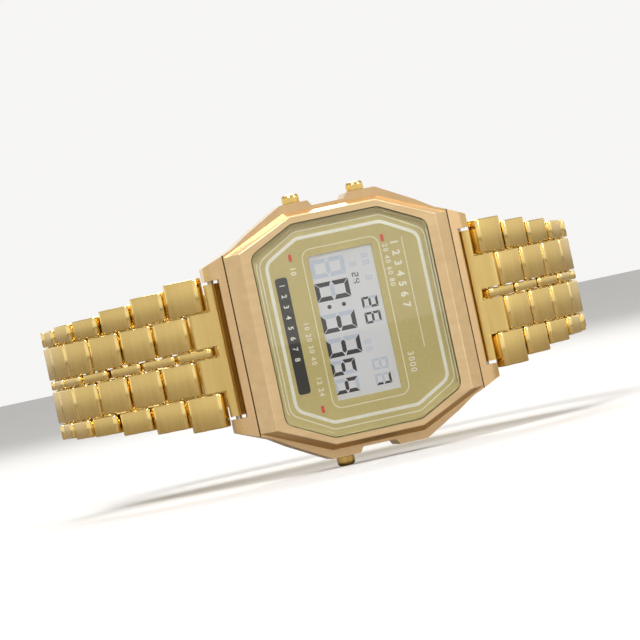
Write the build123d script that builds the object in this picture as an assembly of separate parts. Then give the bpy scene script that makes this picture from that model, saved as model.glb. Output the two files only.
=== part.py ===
from build123d import *
import os
from math import cos, hypot, radians, sin

# A digital wristwatch in gold-coloured metal. It stands on its three o'clock side, as in the photograph.
# The origin is the centre of the case back's outer face. +X runs to the twelve o'clock lugs, +Y out of
# the case back towards the wrist, and +Z to the nine o'clock side. Lengths are in millimetres.

# Levels from the case back to the crystal
back_plate_thickness = 1.5
case_depth = 5.6
bezel_height = 1.8
crystal_rise = 0.7
crystal_thickness = 1.45
cut_overrun = 1.0

# Case outline
lug_half_length = 19.3
lug_half_width = 11.75
shoulder_x = 14.7
shoulder_z = 13.6
flank_corner_x = 12.2
flank_corner_z = 15.2
flank_half_width = 17.3
guard_half_width = 18.1
guard_outer_x = 6.9
guard_inner_x = 2.4
guard_slant = 0.5
lug_front_drop = 1.5
lug_rear_rise = 1.3
lug_rear_slope_length = 4.0
case_edge_radius = 0.2

# Lug notch, which takes the end link
notch_x = 17.5
notch_half_width = 9.85
notch_pocket_depth = 0.9
notch_lip_y = -5.3

# Module cavity
cavity_half_x = 11.6
cavity_half_z = 13.9
cavity_corner_x = 5.9
cavity_corner_z = 11.0

# Bezel
bezel_half_x = 14.3
bezel_half_z = 16.2
bezel_corner_x = 6.4
bezel_corner_z = 12.6
bezel_base_half_x = 16.3
bezel_base_half_z = 16.9
bezel_base_corner_z = 12.55
bezel_edge_radius = 0.15
bezel_ledge_width = 0.95

# Crystal
crystal_opening_half_x = 12.85
crystal_opening_half_z = 15.3
crystal_opening_corner_x = 6.3
crystal_opening_corner_z = 12.0
crystal_corner_radius = 1.6
crystal_clearance = 0.08
crystal_bevel = 0.55
crystal_gasket_width = 0.45

# Dial and display
dial_thickness = 0.25
dial_gap = 0.15
window_half_x = 4.62
window_half_z = 10.3
window_offset_x = -0.17
display_border = 1.0
display_thickness = 1.1
reflector_thickness = 0.2
reflector_inset = 1.5
zebra_width = 0.9
zebra_inset = 0.25
zebra_end_gap = 1.2

# Module
module_clearance = 0.2
module_front_gap = 0.05
module_rear_gap = 0.5
ring_wall = 1.2
board_y = -4.85
board_thickness = 0.6
board_clearance = 0.15
pocket_clearance = 0.1
lamp_width = 1.6
lamp_height = 1.1
lamp_depth = 0.7
lamp_z = 11.75
lamp_pocket_half_width = 1.0

# Parts on the circuit board
chip_radius = 1.7
chip_height = 0.9
chip_x = -3.6
chip_z = -10.2
oscillator_radius = 0.55
oscillator_length = 2.8
oscillator_x = 0.6
oscillator_z = -10.6
capacitor_length = 1.2
capacitor_width = 0.7
capacitor_height = 0.6
capacitor_x = 6.3
capacitor_z = -8.9

# Battery, its strap and the buzzer
battery_radius = 10.0
battery_thickness = 1.6
battery_z = 2.3
battery_rest_gap = 0.5
battery_edge_radius = 0.25
strap_half_width = 1.5
strap_thickness = 0.2
strap_overhang = 1.4
piezo_radius = 6.0
piezo_thickness = 0.25
piezo_z = -5.0
buzzer_spring_x = 3.4
buzzer_spring_z = -9.0
buzzer_spring_radius = 0.7
buzzer_spring_wire = 0.13
buzzer_spring_turns = 5

# Case back, its gasket and its screws
back_half_x = 14.2
back_half_z = 15.8
back_corner_x = 10.2
back_corner_z = 13.4
back_edge_radius = 0.4
gasket_offset = 0.5
gasket_width = 0.6
gasket_depth = 0.5
screw_x = 10.9
screw_z = 13.5
screw_radius = 0.55
screw_length = 3.4
screw_head_radius = 1.1
screw_head_height = 0.7
screw_head_recess = 0.05
screw_clearance = 0.03
screw_slot_width = 0.3
screw_slot_depth = 0.3

# Pushers
pusher_x = 4.7
pusher_y = -4.3
pusher_radius = 1.25
pusher_length = 2.5
pusher_tip_z = 19.5
pusher_travel = 0.8
pusher_edge_radius = 0.3
pusher_clearance = 0.05
stem_radius = 0.5
stem_length = 3.6
stem_hole_clearance = 0.06
seat_wall = 1.1
seal_height = 0.5
seal_width = 0.42
clip_radius = 0.9
clip_thickness = 0.25
clip_gap = 0.1
button_spring_wire = 0.09
button_spring_turns = 3
button_spring_radius = 0.85
contact_half_width = 0.6
contact_half_height = 0.9
contact_thickness = 0.1
button_pocket_half_width = 1.35
button_pocket_margin = 0.3

# Spring bars
bar_x = 18.2
bar_y = -3.5
bar_radius = 0.75
bar_half_length = 9.0
bar_tip_radius = 0.45
bar_tip_length = 1.6
bar_tip_clearance = 0.03
bar_clearance = 0.05

# End links
end_link_angle = 8.0
end_link_half_width = 9.4
end_link_face = 1.9
end_link_pivot_run = 2.75
end_link_start = -0.27
end_link_barrel_wall = 0.35

# Bracelet rows: a row is two outer links, a centre link and two inner links on pins
row_pitch = 5.8
row_angles = [38, 42, 46.5, 60, 75, 86, 103, 120, 136, 151, 166]
link_thickness = 2.0
link_reach = 1.26
link_gap = 0.38
column_gap = 0.2
centre_link_width = 1.25
inner_link_width = 4.75
outer_link_widths = [4.85, 4.0, 3.25, 2.65, 2.5, 2.2, 2.2, 2.2, 2.2, 2.2, 2.2]
link_end_radius = 0.45
link_side_radius = 0.14
pin_radius = 0.42
pin_clearance = 0.03
pin_recess = 0.12

# Clasp
clasp_wall = 0.6
clasp_floor = 0.6
clasp_wall_height = 2.5
clasp_floor_end_gap = 1.9
clasp_ear_radius = 1.0
cover_thickness = 0.7
cover_skirt = 0.6
cover_side_gap = 0.15
cover_top_gap = 0.2
cover_hinge_inset = 4.1
cover_end_inset = 2.2
cover_hinge_ear_radius = 0.9
cover_hinge_rise = 1.5
cover_heel_gap = 1.2
cover_skirt_height = 2.2
cover_edge_radius = 0.3
cover_lip_half_width = 4.0
cover_lip_height = 1.2
hinge_pin_radius = 0.4
lever_half_width = 5.0
lever_length = 9.0
lever_hinge_x = -3.0
lever_gap = 0.2
lever_barrel_radius = 0.6
lever_pin_radius = 0.3
lever_tab_height = 0.8
lever_tab_width = 2.4
lever_lug_width = 1.0

# Levels worked out from the thicknesses
case_rear_y = -back_plate_thickness
case_front_y = case_rear_y - case_depth
bezel_front_y = case_front_y - bezel_height
crystal_front_y = bezel_front_y - crystal_rise
crystal_rear_y = crystal_front_y + crystal_thickness
dial_front_y = crystal_rear_y + dial_gap
dial_rear_y = dial_front_y + dial_thickness
display_rear_y = dial_rear_y + display_thickness
board_rear_y = board_y + board_thickness
battery_front_y = board_rear_y + battery_rest_gap
battery_rear_y = battery_front_y + battery_thickness

# Octagons as half x, half z and the corner points on their long and short sides
crystal_opening = (
    crystal_opening_half_x, crystal_opening_half_z, crystal_opening_corner_x, crystal_opening_corner_z
)
cavity = (cavity_half_x, cavity_half_z, cavity_corner_x, cavity_corner_z)
back_outline = (back_half_x, back_half_z, back_corner_x, back_corner_z)

# The pushers stand at eight, ten and four o'clock
pusher_places = {
    "mode": (-pusher_x, 1),
    "light": (pusher_x, 1),
    "start": (-pusher_x, -1),
}
seat_z = cavity_half_z + seat_wall
pusher_inner_z = pusher_tip_z - pusher_length
spring_foot_z = seat_z + seal_height


def box_between(x_low, x_high, y_low, y_high, z_low, z_high):
    """A box from its lowest to its highest corner."""
    centre = Pos((x_low + x_high) / 2, (y_low + y_high) / 2, (z_low + z_high) / 2)
    return centre * Box(x_high - x_low, y_high - y_low, z_high - z_low)


def rod_z(x, y, z_low, z_high, radius):
    """A round rod along z."""
    return Pos(x, y, (z_low + z_high) / 2) * Cylinder(radius, z_high - z_low)


def rod_y(x, z, y_low, y_high, radius):
    """A round rod along y."""
    return Pos(x, (y_low + y_high) / 2, z) * Rot(90, 0, 0) * Cylinder(radius, y_high - y_low)


def plate(outline, y_low, y_high):
    """A plate with an outline in x and z."""
    face = make_face(Polyline(*[(x, y_low, z) for x, z in outline], close=True))
    return extrude(face, amount=y_high - y_low, dir=(0, 1, 0))


def bar(outline, z_low, z_high):
    """A bar along z with an outline in x and y."""
    face = make_face(Polyline(*[(x, y, z_low) for x, y in outline], close=True))
    return extrude(face, amount=z_high - z_low, dir=(0, 0, 1))


def octagon(size):
    """The corner points of an octagon, all the way round."""
    half_x, half_z, corner_x, corner_z = size
    quarter = [(half_x, corner_z), (corner_x, half_z)]
    upper = quarter + [(-x, z) for x, z in reversed(quarter)]
    return upper + [(x, -z) for x, z in reversed(upper)]


def grown(size, distance):
    """The same octagon with each side moved out by a distance."""
    half_x, half_z, corner_x, corner_z = size
    slant_x = half_z - corner_z
    slant_z = half_x - corner_x
    slant = hypot(slant_x, slant_z)
    reach = (slant_x * half_x + slant_z * corner_z) / slant + distance
    new_x = half_x + distance
    new_z = half_z + distance
    return (
        new_x,
        new_z,
        (reach * slant - slant_z * new_z) / slant_x,
        (reach * slant - slant_x * new_x) / slant_z,
    )


def coil(x, y, z, radius, wire, turns, height, turn):
    """A helical spring whose foot is at a point and whose axis is z turned by a rotation."""
    path = Helix(pitch=(height - 2 * wire) / turns, height=height - 2 * wire, radius=radius)
    section = Plane(origin=path @ 0, z_dir=path % 0) * Circle(wire)
    spring = sweep(section, path=path, is_frenet=True)
    return Pos(x, y, z) * turn * Pos(0, 0, wire) * spring


def both_sides(shape):
    """A shape and its mirror image on the six o'clock side."""
    return [shape, mirror(shape, about=Plane.YZ)]


def case_outline():
    """The case seen from the front, with its four pusher guards and four lugs."""
    quarter = [
        (lug_half_length, lug_half_width),
        (shoulder_x, shoulder_z),
        (flank_corner_x, flank_corner_z),
        (guard_outer_x, guard_half_width),
        (guard_inner_x + guard_slant, guard_half_width),
        (guard_inner_x, flank_half_width),
    ]
    upper = quarter + [(-x, z) for x, z in reversed(quarter)]
    return upper + [(x, -z) for x, z in reversed(upper)]


def lug_cuts():
    """What the +X lugs lose: the front slope, the rear slope and the notch for the end link."""
    end_x = lug_half_length + cut_overrun
    slope = lug_front_drop / (lug_half_length - bezel_base_half_x)
    front = bar(
        [
            (bezel_base_half_x, case_front_y),
            (end_x, case_front_y + slope * (end_x - bezel_base_half_x)),
            (end_x, case_front_y - cut_overrun),
            (bezel_base_half_x, case_front_y - cut_overrun),
        ],
        -guard_half_width,
        guard_half_width,
    )
    start_x = lug_half_length - lug_rear_slope_length
    rise = lug_rear_rise / lug_rear_slope_length
    rear = bar(
        [
            (start_x, case_rear_y),
            (end_x, case_rear_y - rise * (end_x - start_x)),
            (end_x, case_rear_y + cut_overrun),
            (start_x, case_rear_y + cut_overrun),
        ],
        -guard_half_width,
        guard_half_width,
    )
    notch = box_between(
        notch_x, end_x, case_front_y - cut_overrun, case_rear_y + cut_overrun, -notch_half_width, notch_half_width
    )
    pocket = box_between(
        notch_x - notch_pocket_depth, end_x, notch_lip_y, case_rear_y + cut_overrun,
        -notch_half_width, notch_half_width,
    )
    bar_hole = rod_z(
        bar_x, bar_y, -bar_half_length - bar_tip_length - bar_tip_clearance,
        bar_half_length + bar_tip_length + bar_tip_clearance, bar_tip_radius + bar_tip_clearance,
    )
    return front + rear + notch + pocket + bar_hole


def screw_places():
    """The four case back screws."""
    return [(screw_x * a, screw_z * b) for a in (1, -1) for b in (1, -1)]


def case_body():
    """The case band: a closed wall round the module, with lugs, pusher guards and bores."""
    body = plate(case_outline(), case_front_y, case_rear_y)
    upright = body.edges().filter_by(Axis.Y)
    body = fillet(upright, case_edge_radius)
    for cut in both_sides(lug_cuts()):
        body -= cut
    body -= plate(octagon(cavity), case_front_y - cut_overrun, case_rear_y + cut_overrun)
    outer = plate(octagon(grown(cavity, gasket_offset + gasket_width)), case_rear_y - gasket_depth, case_rear_y)
    inner = plate(octagon(grown(cavity, gasket_offset)), case_rear_y - gasket_depth, case_rear_y)
    body -= outer - inner
    for x, z in screw_places():
        depth = screw_length - (back_plate_thickness - screw_head_height - screw_head_recess)
        body -= rod_y(
            x, z, case_rear_y - depth - screw_clearance, case_rear_y + cut_overrun, screw_radius + screw_clearance
        )
    for x, side in pusher_places.values():
        barrel = rod_z(
            x, pusher_y, seat_z, guard_half_width + cut_overrun, pusher_radius + pusher_clearance
        )
        hole = rod_z(
            x, pusher_y, cavity_half_z - cut_overrun, guard_half_width, stem_radius + stem_hole_clearance
        )
        cut = barrel + hole
        body -= cut if side > 0 else mirror(cut, about=Plane.XY)
    return body


def bezel():
    """The bezel: a ring with a flat front and facets that fall away to the case."""
    slant = (bezel_half_x - bezel_corner_x) / (bezel_half_z - bezel_corner_z)
    base_corner_x = bezel_base_half_x - slant * (bezel_base_half_z - bezel_base_corner_z)
    front = (bezel_half_x, bezel_half_z, bezel_corner_x, bezel_corner_z)
    base = (bezel_base_half_x, bezel_base_half_z, base_corner_x, bezel_base_corner_z)
    faces = [
        make_face(Polyline(*[(x, y, z) for x, z in octagon(size)], close=True))
        for size, y in ((front, bezel_front_y), (base, case_front_y))
    ]
    ring = loft(faces, ruled=True)
    ring = fillet(ring.faces().sort_by(Axis.Y)[0].edges(), bezel_edge_radius)
    opening = plate(octagon(crystal_opening), bezel_front_y - cut_overrun, dial_rear_y)
    opening = fillet(opening.edges().filter_by(Axis.Y), crystal_corner_radius)
    ledge = plate(octagon(grown(crystal_opening, -bezel_ledge_width)), bezel_front_y, case_front_y + cut_overrun)
    return ring - opening - ledge


def crystal():
    """The crystal: a flat mineral glass with a polished bevel round its front edge."""
    glass = plate(octagon(grown(crystal_opening, -crystal_clearance)), crystal_front_y, crystal_rear_y)
    glass = fillet(glass.edges().filter_by(Axis.Y), crystal_corner_radius - crystal_clearance)
    return chamfer(glass.faces().sort_by(Axis.Y)[0].edges(), crystal_bevel)


def crystal_gasket():
    """The seal under the edge of the crystal, round the dial."""
    outer = plate(octagon(crystal_opening), crystal_rear_y, dial_rear_y)
    outer = fillet(outer.edges().filter_by(Axis.Y), crystal_corner_radius)
    return outer - plate(octagon(grown(crystal_opening, -crystal_gasket_width)), crystal_rear_y, dial_rear_y)


def dial():
    """The printed dial plate, with a window for the display."""
    sheet = plate(octagon(grown(crystal_opening, -crystal_gasket_width)), dial_front_y, dial_rear_y)
    return sheet - box_between(
        window_offset_x - window_half_x, window_offset_x + window_half_x,
        dial_front_y - cut_overrun, dial_rear_y + cut_overrun, -window_half_z, window_half_z,
    )


def display_box(border, y_low, y_high):
    """A flat block behind the display window, larger than it by a border."""
    return box_between(
        window_offset_x - window_half_x - border, window_offset_x + window_half_x + border,
        y_low, y_high, -window_half_z - border, window_half_z + border,
    )


def zebra_boxes(clearance):
    """The two conductive rubber strips between the display and the circuit board, or their slots."""
    edge = window_half_x + display_border - zebra_inset
    half_length = window_half_z - zebra_end_gap + clearance
    return [
        box_between(
            window_offset_x + side * (edge - zebra_width / 2) - zebra_width / 2 - clearance,
            window_offset_x + side * (edge - zebra_width / 2) + zebra_width / 2 + clearance,
            display_rear_y, board_y, -half_length, half_length,
        )
        for side in (1, -1)
    ]


def button_pockets():
    """Room in the module frame for the inner ends of the pushers."""
    reach = pusher_inner_z - stem_length - pusher_travel - button_pocket_margin
    pockets = []
    for x, side in pusher_places.values():
        pocket = box_between(
            x - button_pocket_half_width, x + button_pocket_half_width,
            pusher_y - button_pocket_half_width, pusher_y + button_pocket_half_width,
            reach, cavity_half_z,
        )
        pockets.append(pocket if side > 0 else mirror(pocket, about=Plane.XY))
    return pockets


def module_frame():
    """The plastic frame that holds the display in front, and the board and battery behind."""
    outline = octagon(grown(cavity, -module_clearance))
    frame = plate(outline, dial_rear_y + module_front_gap, case_rear_y - module_rear_gap)
    frame -= plate(
        octagon(grown(cavity, -module_clearance - ring_wall)), board_y, case_rear_y + cut_overrun
    )
    frame -= display_box(display_border + pocket_clearance, dial_rear_y - cut_overrun, display_rear_y)
    frame -= display_box(-reflector_inset + pocket_clearance, display_rear_y, display_rear_y + reflector_thickness)
    for slot in zebra_boxes(pocket_clearance):
        frame -= slot
    frame -= box_between(
        -lamp_pocket_half_width, lamp_pocket_half_width, dial_rear_y, board_y,
        lamp_z - lamp_depth / 2 - pocket_clearance, lamp_z + lamp_depth / 2 + pocket_clearance,
    )
    for pocket in button_pockets():
        frame -= pocket
    return frame


def board_size():
    """The circuit board's outline: it drops into the ring at the back of the frame."""
    return grown(cavity, -module_clearance - ring_wall - board_clearance)


def circuit_board():
    """The circuit board, against the back of the frame's display cell."""
    return plate(octagon(board_size()), board_y, board_rear_y)


def contact_springs():
    """A flat contact tab on the edge of the board behind each pusher."""
    edge = board_size()[1]
    tabs = []
    for x, side in pusher_places.values():
        tab = box_between(
            x - contact_half_width, x + contact_half_width,
            pusher_y - contact_half_height, pusher_y + contact_half_height, edge, edge + contact_thickness,
        )
        tabs.append(tab if side > 0 else mirror(tab, about=Plane.XY))
    return tabs


def board_components():
    """The resin-covered chip, the quartz oscillator can and a capacitor, below the battery."""
    chip = rod_y(chip_x, chip_z, board_rear_y, board_rear_y + chip_height, chip_radius)
    chip = fillet(chip.faces().sort_by(Axis.Y)[-1].edges(), chip_height / 2)
    can = Pos(oscillator_x, board_rear_y + oscillator_radius, oscillator_z) * Rot(0, 90, 0)
    can = can * Cylinder(oscillator_radius, oscillator_length)
    block = box_between(
        capacitor_x - capacitor_length / 2, capacitor_x + capacitor_length / 2,
        board_rear_y, board_rear_y + capacitor_height,
        capacitor_z - capacitor_width / 2, capacitor_z + capacitor_width / 2,
    )
    return [chip, can, block]


def battery():
    """The coin cell."""
    cell = rod_y(0, battery_z, battery_front_y, battery_rear_y, battery_radius)
    return fillet(cell.edges(), battery_edge_radius)


def battery_strap():
    """The sheet spring over the back of the coin cell, with a foot down to the board."""
    low_z = battery_z - battery_radius - strap_overhang
    strap = box_between(
        -strap_half_width, strap_half_width, battery_rear_y, battery_rear_y + strap_thickness,
        low_z, battery_z + battery_radius - strap_overhang,
    )
    foot = box_between(
        -strap_half_width, strap_half_width, board_rear_y, battery_rear_y, low_z, low_z + strap_thickness
    )
    return strap + foot


def buzzer_spring():
    """The small coil spring that joins the board to the buzzer disc."""
    height = -back_plate_thickness - piezo_thickness - board_rear_y
    return coil(
        buzzer_spring_x, board_rear_y, buzzer_spring_z, buzzer_spring_radius,
        buzzer_spring_wire, buzzer_spring_turns, height, Rot(-90, 0, 0),
    )


def back_gasket():
    """The flat rubber seal in the groove at the back of the case."""
    outer = plate(octagon(grown(cavity, gasket_offset + gasket_width)), case_rear_y - gasket_depth, case_rear_y)
    return outer - plate(octagon(grown(cavity, gasket_offset)), case_rear_y - gasket_depth, case_rear_y)


def case_back():
    """The pressed case back plate, with recesses for its screws."""
    back = plate(octagon(back_outline), case_rear_y, 0)
    back = fillet(back.faces().sort_by(Axis.Y)[-1].edges(), back_edge_radius)
    for x, z in screw_places():
        back -= rod_y(
            x, z, -screw_head_height - screw_head_recess, cut_overrun, screw_head_radius + screw_clearance
        )
        back -= rod_y(x, z, case_rear_y - cut_overrun, 0, screw_radius + screw_clearance)
    return back


def back_screws():
    """Four slotted screws, their heads just under the case back's face."""
    screws = []
    for x, z in screw_places():
        top = -screw_head_recess
        seat = top - screw_head_height
        screw = rod_y(x, z, seat, top, screw_head_radius) + rod_y(x, z, seat - screw_length, seat, screw_radius)
        slot = box_between(
            x - screw_head_radius, x + screw_head_radius, top - screw_slot_depth, cut_overrun,
            z - screw_slot_width / 2, z + screw_slot_width / 2,
        )
        screws.append(screw - slot)
    return screws


def pusher(x, side):
    """A pusher: a round cap on a stem, and the clip that holds it in from inside the case."""
    cap = rod_z(x, pusher_y, pusher_inner_z, pusher_tip_z, pusher_radius)
    cap = fillet(cap.faces().sort_by(Axis.Z)[-1].edges(), pusher_edge_radius)
    stem_end = pusher_inner_z - stem_length
    cap += rod_z(x, pusher_y, stem_end, pusher_inner_z, stem_radius)
    clip_top = cavity_half_z - clip_gap
    groove = stem_radius - stem_hole_clearance
    ring = rod_z(x, pusher_y, clip_top - clip_thickness, clip_top, clip_radius)
    cap -= ring - rod_z(x, pusher_y, clip_top - clip_thickness, clip_top, groove)
    clip = ring - rod_z(x, pusher_y, clip_top - clip_thickness, clip_top, groove)
    pieces = [cap, clip]
    return pieces if side > 0 else [mirror(piece, about=Plane.XY) for piece in pieces]


def pusher_spring(x, side):
    """The return spring under a pusher's cap."""
    height = pusher_inner_z - spring_foot_z
    spring = coil(
        x, pusher_y, spring_foot_z, button_spring_radius, button_spring_wire, button_spring_turns, height,
        Rot(0, 0, 0),
    )
    return spring if side > 0 else mirror(spring, about=Plane.XY)


def pusher_gaskets():
    """The seal ring round each pusher's stem, at the bottom of its bore."""
    seals = []
    for x, side in pusher_places.values():
        inner = stem_radius + stem_hole_clearance
        seal = rod_z(x, pusher_y, seat_z, spring_foot_z, inner + seal_width)
        seal -= rod_z(x, pusher_y, seat_z, spring_foot_z, inner)
        seals.append(seal if side > 0 else mirror(seal, about=Plane.XY))
    return seals


def spring_bar():
    """The +X spring bar: a tube with a sprung tip at each end, which sits in the lugs."""
    rod = rod_z(bar_x, bar_y, -bar_half_length, bar_half_length, bar_radius)
    reach = bar_half_length + bar_tip_length
    return rod + rod_z(bar_x, bar_y, -reach, reach, bar_tip_radius)


def column_spans(row):
    """The z ranges of a row's outer and centre columns, and of its inner columns."""
    centre = centre_link_width / 2
    inner_low = centre + column_gap
    inner_high = inner_low + inner_link_width
    outer_low = inner_high + column_gap
    outer_high = outer_low + outer_link_widths[row]
    outer = [(outer_low, outer_high), (-centre, centre), (-outer_high, -outer_low)]
    return outer, [(inner_low, inner_high), (-inner_high, -inner_low)]


def link(s_low, s_high, span, holes):
    """One link, lying along x with its pivots on the x axis, its edges rolled over."""
    z_low, z_high = span
    block = box_between(s_low, s_high, -link_thickness / 2, link_thickness / 2, z_low, z_high)
    block = fillet(block.edges().filter_by(Axis.Z), link_end_radius)
    sides = block.faces().sort_by(Axis.Z)[0].edges() + block.faces().sort_by(Axis.Z)[-1].edges()
    block = fillet(sides, link_side_radius)
    for s in holes:
        block -= rod_z(s, 0, z_low, z_high, pin_radius + pin_clearance)
    return block


def row_solids(row):
    """A row of links lying along x from its first pivot, with its two pins."""
    half = row_pitch / 2
    end = row_pitch - link_reach - link_gap
    outer, inner = column_spans(row)
    links = [link(-link_reach, end, span, [0, half]) for span in outer]
    links += [link(link_reach + link_gap, row_pitch + link_reach, span, [half, row_pitch]) for span in inner]
    reach = outer[0][1] - pin_recess
    return links + [rod_z(s, 0, -reach, reach, pin_radius) for s in (0, half)]


def end_link_place():
    """Where the +X end link lies: its x axis runs from the spring bar to the first row."""
    return Pos(bar_x, bar_y, 0) * Rot(0, 0, end_link_angle)


def end_link_pivot_n():
    """How far in front of the spring bar's axis the first row's pivot lies."""
    return end_link_face - link_thickness / 2


def end_link():
    """The end link: a full-width plate on the spring bar, and two tongues that carry the first row."""
    inner = column_spans(0)[1]
    barrel_radius = bar_radius + bar_clearance + end_link_barrel_wall
    shoulder = end_link_pivot_run - link_reach - link_gap
    solid = box_between(
        end_link_start, shoulder, -end_link_face, 0, -end_link_half_width, end_link_half_width
    )
    solid = fillet(
        solid.edges().filter_by(Axis.Z).group_by(Axis.Y)[0], link_end_radius
    )
    solid += rod_z(0, 0, -end_link_half_width, end_link_half_width, barrel_radius)
    for z_low, z_high in inner:
        tongue = box_between(
            0, end_link_pivot_run + link_reach,
            -end_link_face, -end_link_face + link_thickness, z_low, z_high,
        )
        ends = tongue.edges().filter_by(Axis.Z).sort_by(Axis.X)[-2:]
        solid += fillet(ends, link_end_radius)
    solid -= rod_z(0, 0, -end_link_half_width, end_link_half_width, bar_radius + bar_clearance)
    solid -= rod_z(
        end_link_pivot_run, -end_link_pivot_n(), -end_link_half_width, end_link_half_width,
        pin_radius + pin_clearance,
    )
    return end_link_place() * solid


def chain_points():
    """The pivots of the +X half of the bracelet, from the end link's to the clasp's."""
    angle = radians(end_link_angle)
    run, rise = end_link_pivot_run, end_link_pivot_n()
    x = bar_x + run * cos(angle) + rise * sin(angle)
    y = bar_y + run * sin(angle) - rise * cos(angle)
    points = [(x, y)]
    for turn in row_angles:
        x += row_pitch * cos(radians(turn))
        y += row_pitch * sin(radians(turn))
        points.append((x, y))
    return points


def clasp_spans():
    """The half width of the clasp, and the z at which its ears start beside the last row."""
    outer = column_spans(len(row_angles) - 1)[0][0]
    return outer[1], outer[0]


def clasp_base():
    """The clasp's base: a channel on the wrist side, with an ear beside each last row."""
    end_x, pin_y = chain_points()[-1]
    half_width, ear_z = clasp_spans()
    inner_y = pin_y - link_thickness / 2
    floor_x = end_x - clasp_floor_end_gap
    base = box_between(-floor_x, floor_x, inner_y, inner_y + clasp_floor, -half_width, half_width)
    for side in (1, -1):
        z_low, z_high = sorted((side * (half_width - clasp_wall), side * half_width))
        base += box_between(
            -floor_x, floor_x, inner_y, inner_y + clasp_wall_height, z_low, z_high
        )
        ear_low, ear_high = sorted((side * ear_z, side * half_width))
        for end in (1, -1):
            foot, tip = sorted((end * (floor_x - clasp_wall), end * end_x))
            base += box_between(foot, tip, inner_y, pin_y + clasp_ear_radius, ear_low, ear_high)
            base += rod_z(end * end_x, pin_y, ear_low, ear_high, clasp_ear_radius)
    for end in (1, -1):
        base -= rod_z(end * end_x, pin_y, -half_width, half_width, pin_radius + pin_clearance)
    base -= rod_z(
        end_x - cover_hinge_inset, pin_y + cover_hinge_rise - link_thickness / 2,
        -half_width, half_width, hinge_pin_radius + pin_clearance,
    )
    window_low = lever_hinge_x - lever_length - lever_gap
    window_high = lever_hinge_x + lever_barrel_radius + lever_gap
    base -= box_between(
        window_low, window_high, inner_y - cut_overrun, inner_y + clasp_floor,
        -lever_half_width - lever_gap, lever_half_width + lever_gap,
    )
    for side in (1, -1):
        inside = side * (lever_half_width + lever_gap)
        z_low, z_high = sorted((inside, inside + side * lever_lug_width))
        lug = box_between(
            lever_hinge_x - lever_barrel_radius, lever_hinge_x + lever_barrel_radius,
            inner_y, inner_y + clasp_floor + lever_barrel_radius, z_low, z_high,
        )
        base += lug
    return base - rod_z(
        lever_hinge_x, inner_y + clasp_floor, -half_width + clasp_wall, half_width - clasp_wall,
        lever_pin_radius + pin_clearance,
    )


def clasp_pin(side):
    """The pin through the clasp's ears and the last row's inner links."""
    end_x, pin_y = chain_points()[-1]
    reach = clasp_spans()[0] - pin_recess
    return rod_z(side * end_x, pin_y, -reach, reach, pin_radius)


def cover_hinge():
    """The x and y of the cover's hinge."""
    end_x, pin_y = chain_points()[-1]
    return end_x - cover_hinge_inset, pin_y + cover_hinge_rise - link_thickness / 2


def clasp_cover():
    """The clasp's cover: a plate with two skirts that fold over the base, and a snap lip."""
    end_x, pin_y = chain_points()[-1]
    hinge_x, hinge_y = cover_hinge()
    inner_y = pin_y - link_thickness / 2 + clasp_wall_height + cover_top_gap
    outer_z = clasp_spans()[0] + cover_side_gap + cover_skirt
    free_x = -end_x + cover_end_inset
    heel_x = hinge_x - cover_heel_gap
    cover = box_between(free_x, heel_x, inner_y, inner_y + cover_thickness, -outer_z, outer_z)
    for side in (1, -1):
        z_low, z_high = sorted((side * (outer_z - cover_skirt), side * outer_z))
        cover += box_between(
            free_x, hinge_x, inner_y + cover_thickness - cover_skirt_height, inner_y + cover_thickness,
            z_low, z_high,
        )
    long_edges = cover.faces().sort_by(Axis.Y)[-1].edges().filter_by(Axis.X).group_by(Axis.Z)
    cover = fillet(long_edges[0] + long_edges[-1], cover_edge_radius)
    for side in (1, -1):
        z_low, z_high = sorted((side * (outer_z - cover_skirt), side * outer_z))
        cover += rod_z(hinge_x, hinge_y, z_low, z_high, cover_hinge_ear_radius)
        cover += box_between(
            hinge_x - cover_hinge_ear_radius, hinge_x, hinge_y, inner_y, z_low, z_high
        )
    cover += box_between(
        free_x, free_x + cover_thickness, inner_y - cover_lip_height, inner_y,
        -cover_lip_half_width, cover_lip_half_width,
    )
    return cover - rod_z(hinge_x, hinge_y, -outer_z, outer_z, hinge_pin_radius + pin_clearance)


def cover_pin():
    """The cover's hinge pin, through both of its skirts and the base's walls."""
    hinge_x, hinge_y = cover_hinge()
    reach = clasp_spans()[0] + cover_side_gap + cover_skirt - pin_recess
    return rod_z(hinge_x, hinge_y, -reach, reach, hinge_pin_radius)


def clasp_lever():
    """The size-lock lever: a flap in a window of the base's floor, opened from the wrist side."""
    inner_y = chain_points()[-1][1] - link_thickness / 2
    hinge_y = inner_y + clasp_floor
    flap = box_between(
        lever_hinge_x - lever_length, lever_hinge_x, inner_y, inner_y + clasp_floor - pin_clearance,
        -lever_half_width, lever_half_width,
    )
    flap += rod_z(lever_hinge_x, hinge_y, -lever_half_width, lever_half_width, lever_barrel_radius)
    tab = box_between(
        lever_hinge_x - lever_length, lever_hinge_x - lever_length + clasp_floor,
        inner_y, inner_y + clasp_floor + lever_tab_height, -lever_tab_width, lever_tab_width,
    )
    flap += tab
    return flap - rod_z(
        lever_hinge_x, hinge_y, -lever_half_width, lever_half_width, lever_pin_radius + pin_clearance
    )


def lever_pin():
    """The lever's hinge pin, held in the base's two lugs."""
    inner_y = chain_points()[-1][1] - link_thickness / 2
    reach = lever_half_width + lever_gap + lever_lug_width - pin_clearance
    return rod_z(lever_hinge_x, inner_y + clasp_floor, -reach, reach, lever_pin_radius)


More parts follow.
